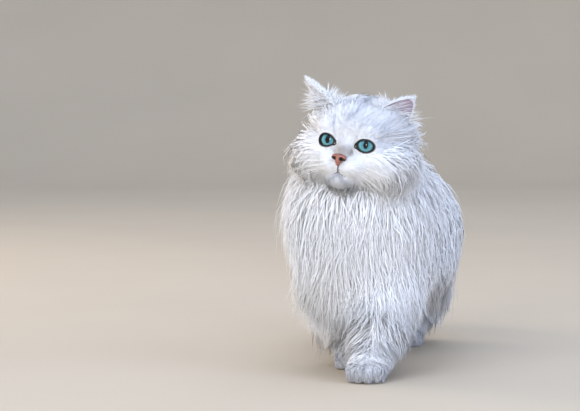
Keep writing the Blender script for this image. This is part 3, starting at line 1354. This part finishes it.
class CAT_OT_ears(Operator):
    """Both ears: thin shells, furred behind, with bare skin and long hair inside"""
    bl_idname = "cat.ears"
    bl_label = "Ears"

    def execute(self, context):
        for name, side in SIDES.items():
            shape = EarShape(EAR_HEIGHT[name])
            points, quads, back = self.shell(shape, side)
            ear = mesh_of("ear_shell_" + name, points, quads)
            bare = look().ear_inside if side > 0 else look().ear_pale
            inside = plain_skin("ear_skin_bare_thin_" + name, bare, 0.6, 0.9, 0.1, 0.85)
            finish(ear, inside, "ear_skin", "ear_" + name)
            ear.data.materials.append(BUILT["hair"])
            ear.data.polygons.foreach_set("material_index", back.astype(np.int32))
            paint(ear.data, "tone", np.full(len(ear.data.vertices), 0.7))
            finish(self.fur(shape, name, side), BUILT["hair"], "coat")
        return {"FINISHED"}

    def shell(self, shape, side):
        columns, rows = 28, 26
        u, up = np.meshgrid(np.linspace(-1, 1, columns), np.linspace(0, 1, rows), indexing="ij")
        middle, out = shape.at(u, up), shape.outward(u, up)
        thick = 0.8 * (1 - 0.55 * np.abs(u) ** 6)[..., None] * (1 - 0.5 * up ** 8)[..., None]
        layers = [middle + out * thick, middle - out * thick]
        points = np.concatenate([layer.reshape(-1, 3) for layer in layers])
        at = np.arange(columns * rows).reshape(columns, rows)
        a, b, c, d = at[:-1, :-1], at[1:, :-1], at[1:, 1:], at[:-1, 1:]
        first = np.stack([a, b, c, d], axis=-1).reshape(-1, 4)
        second = first[:, ::-1] + columns * rows
        edge = np.concatenate([at[:-1, 0], at[-1, :-1], at[1:, -1][::-1], at[0, 1:][::-1]])
        following = np.roll(edge, -1)
        rim = np.stack([following, edge, edge + columns * rows, following + columns * rows], axis=1)
        quads = np.concatenate([first, second, rim])
        # The side that bows back carries the coat
        back = np.concatenate([np.zeros(len(first)), np.ones(len(second)), np.ones(len(rim))])
        if out[columns // 2, rows // 2, 1] > 0:
            back[: len(first)], back[len(first): 2 * len(first)] = 1, 0
        return moved(points, ear_frame(side)), quads, back

    def fur(self, shape, name, side):
        """Short hair behind the ear and on its rim, and long wisps that spill out of it."""
        rng = np.random.default_rng(look().seed + 40 + side)
        spin = np.array(ear_frame(side))[:3, :3]
        which = 0 if side > 0 else 1
        groups = []
        for kind, hair in EAR_HAIR.items():
            count = hair["count"][which]
            widest = (0.88, 1)[which]
            u = rng.uniform(-widest, widest, count)
            up = rng.uniform(0.12, 1, count) ** 0.8
            if kind == "rim":
                u = np.sign(u) * rng.uniform(0.9, 1.0, count)
            elif kind == "crest":
                u = -side * rng.uniform(0.6, 1.0, count)
            elif "across" in hair:
                u = rng.uniform(-hair["across"], hair["across"], count)
            if "up" in hair:
                up = rng.uniform(*hair["up"][which], count)
            root = shape.at(u, up)
            out = shape.outward(u, up)
            if out[:, 1].mean() < 0:
                out = -out
            rise = unit(shape.rise(u, up, 0.03))
            edge = unit(root - shape.at(u * 0.9, up))
            stray = rng.normal(size=(count, 3)) * 0.12
            if hair.get("inside"):
                out = -out
            whole, less = hair.get("taper", (1, 0))
            span = rng.uniform(*hair["span"][which], count) * (whole - less * up)
            along, outside, sideways = hair["lie"]
            go = rise * along + out * outside + edge * sideways + stray * hair.get("stray", 1)
            for way, frame in (("toward", np.eye(3)), ("aim", spin)):
                x, y, z = hair.get(way, (0, 0, 0))
                go = go + np.array((side * x, y, z)) @ frame
            lie = unit(go)
            droop = np.array((0, 0, -hair.get("droop", 0)))
            width = rng.uniform(*hair["width"], count)
            path = np.empty((count, TUFT_STEPS + 1, 3))
            here = root + out * 0.2
            for j in range(TUFT_STEPS + 1):
                path[:, j] = here
                here = here + unit(lie + droop * j / TUFT_STEPS) * (span / TUFT_STEPS)[:, None]
            ups = np.repeat(out[:, None], TUFT_STEPS + 1, axis=1)
            uv = np.stack([0.5 + 0.45 * u, up * 0.9 + 0.05], axis=1)
            groups.append((path, ups, width, uv))
        path, ups, width, uv = (np.concatenate([g[i] for g in groups]) for i in range(4))
        tone = rng.uniform(0.35, 0.85, len(path))
        path, unmarked = moved(path, ear_frame(side)), np.zeros((len(path), 2))
        return tuft_mesh("coat_ear_" + name, path, ups @ spin.T, width, uv, tone, rng, unmarked, 0.0)


class CAT_OT_whiskers(Operator):
    """White whiskers from both pads, and a few above the eyes"""
    bl_idname = "cat.whiskers"
    bl_label = "Whiskers"

    def execute(self, context):
        rng = np.random.default_rng(look().seed + 90)
        pieces = []
        for side in SIDES.values():
            for row in range(3):
                for k in range(4):
                    x, z = 11 + 2.6 * k, -22 - 3.2 * row
                    root = np.array((side * x, -49 + 1.2 * k, z))
                    span = 34 + 7 * k + rng.uniform(-5, 5)
                    fall = -0.10 - 0.16 * row + rng.uniform(-0.06, 0.06)
                    go = np.array((side * 1.0, -0.30 + 0.18 * k, fall))
                    pieces.append(self.hair(root, go, (0, 0.35, -0.45), span, 0.26))
            for k in range(3):
                root = np.array((side * (17 + 5 * k), -34.0 + 2 * k, 14.5))
                go = np.array((side * (0.25 + 0.2 * k), -0.35, 1.0))
                pieces.append(self.hair(root, go, (side * 0.3, 0.6, -0.1), 26, 0.20))
        whiskers = join("whiskers", pieces)
        made, tree, shader = new_material("whisker_keratin_stiff")
        where = add(tree, "TexCoord").outputs["Object"]
        noise = add(tree, "TexNoise", Vector=where, Scale=80.0).outputs["Fac"]
        stops = ((0.3, from_hex("#e6e2dc")), (0.7, from_hex("#fbfaf8")))
        colour = add(tree, "ValToRGB", stops=stops, _0=noise).outputs["Color"]
        wire(tree, shader, Base_Color=colour, Roughness=0.35, IOR=1.55)
        finish(whiskers, made, "whisker")
        return {"FINISHED"}

    def hair(self, root, go, sag, span, radius):
        steps = 12
        line = [root]
        direction = go / np.linalg.norm(go)
        for j in range(steps):
            direction = unit(direction + np.array(sag) * 1.6 / steps * (j / steps))
            line.append(line[-1] + direction * span / steps)
        return tube("whisker", moved(np.array(line), HEAD), np.linspace(radius, 0.06, steps + 1), 5)


class CAT_OT_face_coat(Operator):
    """Short velvet fur of the face"""
    bl_idname = "cat.face_coat"
    bl_label = "Face fur"

    def execute(self, context):
        coat = BUILT["coat"]
        local = in_head(coat.middles)
        away = from_face(local)
        face = (coat.labels == HEAD_LABEL) * (away < 62) * clear_of_eyes(coat.middles)
        dense = np.interp(away, (0, 20, 40, 62), (3.2, 2.2, 1.2, 0.8))
        inner = face * (away < 34)
        outer = face * (away >= 34)
        grow_piece("coat_face", dense * inner, 1)
        grow_piece("coat_face_outer", dense * outer, 2)
        return {"FINISHED"}


class CAT_OT_ruff_coat(Operator):
    """Longer fur of the crown, the cheeks and the throat"""
    bl_idname = "cat.ruff_coat"
    bl_label = "Ruff"

    def execute(self, context):
        coat = BUILT["coat"]
        local = in_head(coat.middles)
        away = from_face(local)
        ring = (coat.labels == HEAD_LABEL) * (away >= 50) * clear_of_eyes(coat.middles)
        grow_piece("coat_ruff", ring, 3)
        return {"FINISHED"}


class CAT_OT_body_coat(Operator):
    """Long coat of the chest, back, flanks and belly"""
    bl_idname = "cat.body_coat"
    bl_label = "Body coat"

    def execute(self, context):
        coat = BUILT["coat"]
        p = coat.middles
        trunk = coat.labels == TRUNK_LABEL
        chest = trunk & (p[:, 1] < -62)
        high = p[:, 2] > 150
        grow_piece("coat_chest", chest & high, 4)
        grow_piece("coat_bib", chest & ~high, 5)
        rest = trunk & ~chest
        grow_piece("coat_back", rest & (p[:, 2] > 185), 6)
        grow_piece("coat_flank_left", rest & (p[:, 2] <= 185) & (p[:, 0] >= 0), 7)
        grow_piece("coat_flank_right", rest & (p[:, 2] <= 185) & (p[:, 0] < 0), 8)
        return {"FINISHED"}


class CAT_OT_limb_coat(Operator):
    """Coat of the legs and paws"""
    bl_idname = "cat.limb_coat"
    bl_label = "Leg coat"

    def execute(self, context):
        coat = BUILT["coat"]
        z = coat.middles[:, 2]
        for i, (part, labels) in enumerate((("fore", (2, 3)), ("hind", (4, 5)))):
            mine = np.isin(coat.labels, labels)
            dense = np.interp(z, (20, 50, 100), (1.5, 1.1, 0.9))
            grow_piece("coat_legs_" + part, (mine & (z > 26)) * dense, 10 + i)
            grow_piece("coat_paws_" + part, mine & (z > 1.5) & (z <= 30), 12 + i, 0.2)
        return {"FINISHED"}


class CAT_OT_tail_coat(Operator):
    """Plume of the tail"""
    bl_idname = "cat.tail_coat"
    bl_label = "Tail plume"

    def execute(self, context):
        coat = BUILT["coat"]
        grow_piece("coat_tail", coat.labels == TAIL_LABEL, 14)
        return {"FINISHED"}


def clear_of_eyes(points):
    """1 where fur may grow, 0 on the lids' bare rims and the nose leather."""
    keep = np.ones(len(points))
    for side in SIDES.values():
        eye = in_eye(points, side)
        rim = lid_ratio(eye)
        keep[(eye[:, 1] < 0) & (rim < 1.28)] = 0
    local = in_head(points)
    leather = ((local[:, 0] / 7.5) ** 2 + ((local[:, 2] + 17) / 5.0) ** 2 < 1) & (local[:, 1] < -40)
    keep[leather] = 0
    return keep


def grow_piece(name, density, seed, fluff=FLUFF):
    amount = look().coat_amount * 1
    made = BUILT["coat"].grow(
        name, max(60, int(TUFTS[name] * amount)), density.astype(float), look().seed * 100 + seed,
        look().hair_width / math.sqrt(amount), fluff,
    )
    return finish(made, BUILT["hair"], "coat")


OPERATORS = (
    CAT_OT_stage, CAT_OT_skin, CAT_OT_eyes, CAT_OT_nose, CAT_OT_ears, CAT_OT_whiskers,
    CAT_OT_face_coat, CAT_OT_ruff_coat, CAT_OT_body_coat, CAT_OT_limb_coat, CAT_OT_tail_coat,
)


class CAT_PT_panel(Panel):
    """Lists the cat's pieces and their settings"""
    bl_label = "Walking cat"
    bl_idname = "CAT_PT_panel"
    bl_space_type = "VIEW_3D"
    bl_region_type = "UI"
    bl_category = "Cat"

    def draw(self, context):
        for name in CatLook.__annotations__:
            self.layout.prop(context.scene.cat_look, name)
        for operator in OPERATORS:
            self.layout.operator(operator.bl_idname)


def register():
    for cls in (CatLook, *OPERATORS, CAT_PT_panel):
        bpy.utils.register_class(cls)
    bpy.types.Scene.cat_look = PointerProperty(type=CatLook)


def unregister():
    del bpy.types.Scene.cat_look
    for cls in reversed((CatLook, *OPERATORS, CAT_PT_panel)):
        bpy.utils.unregister_class(cls)


def main():
    register()
    for operator in OPERATORS:
        group, action = operator.bl_idname.split(".")
        getattr(getattr(bpy.ops, group), action)()


if __name__ == "__main__":
    main()
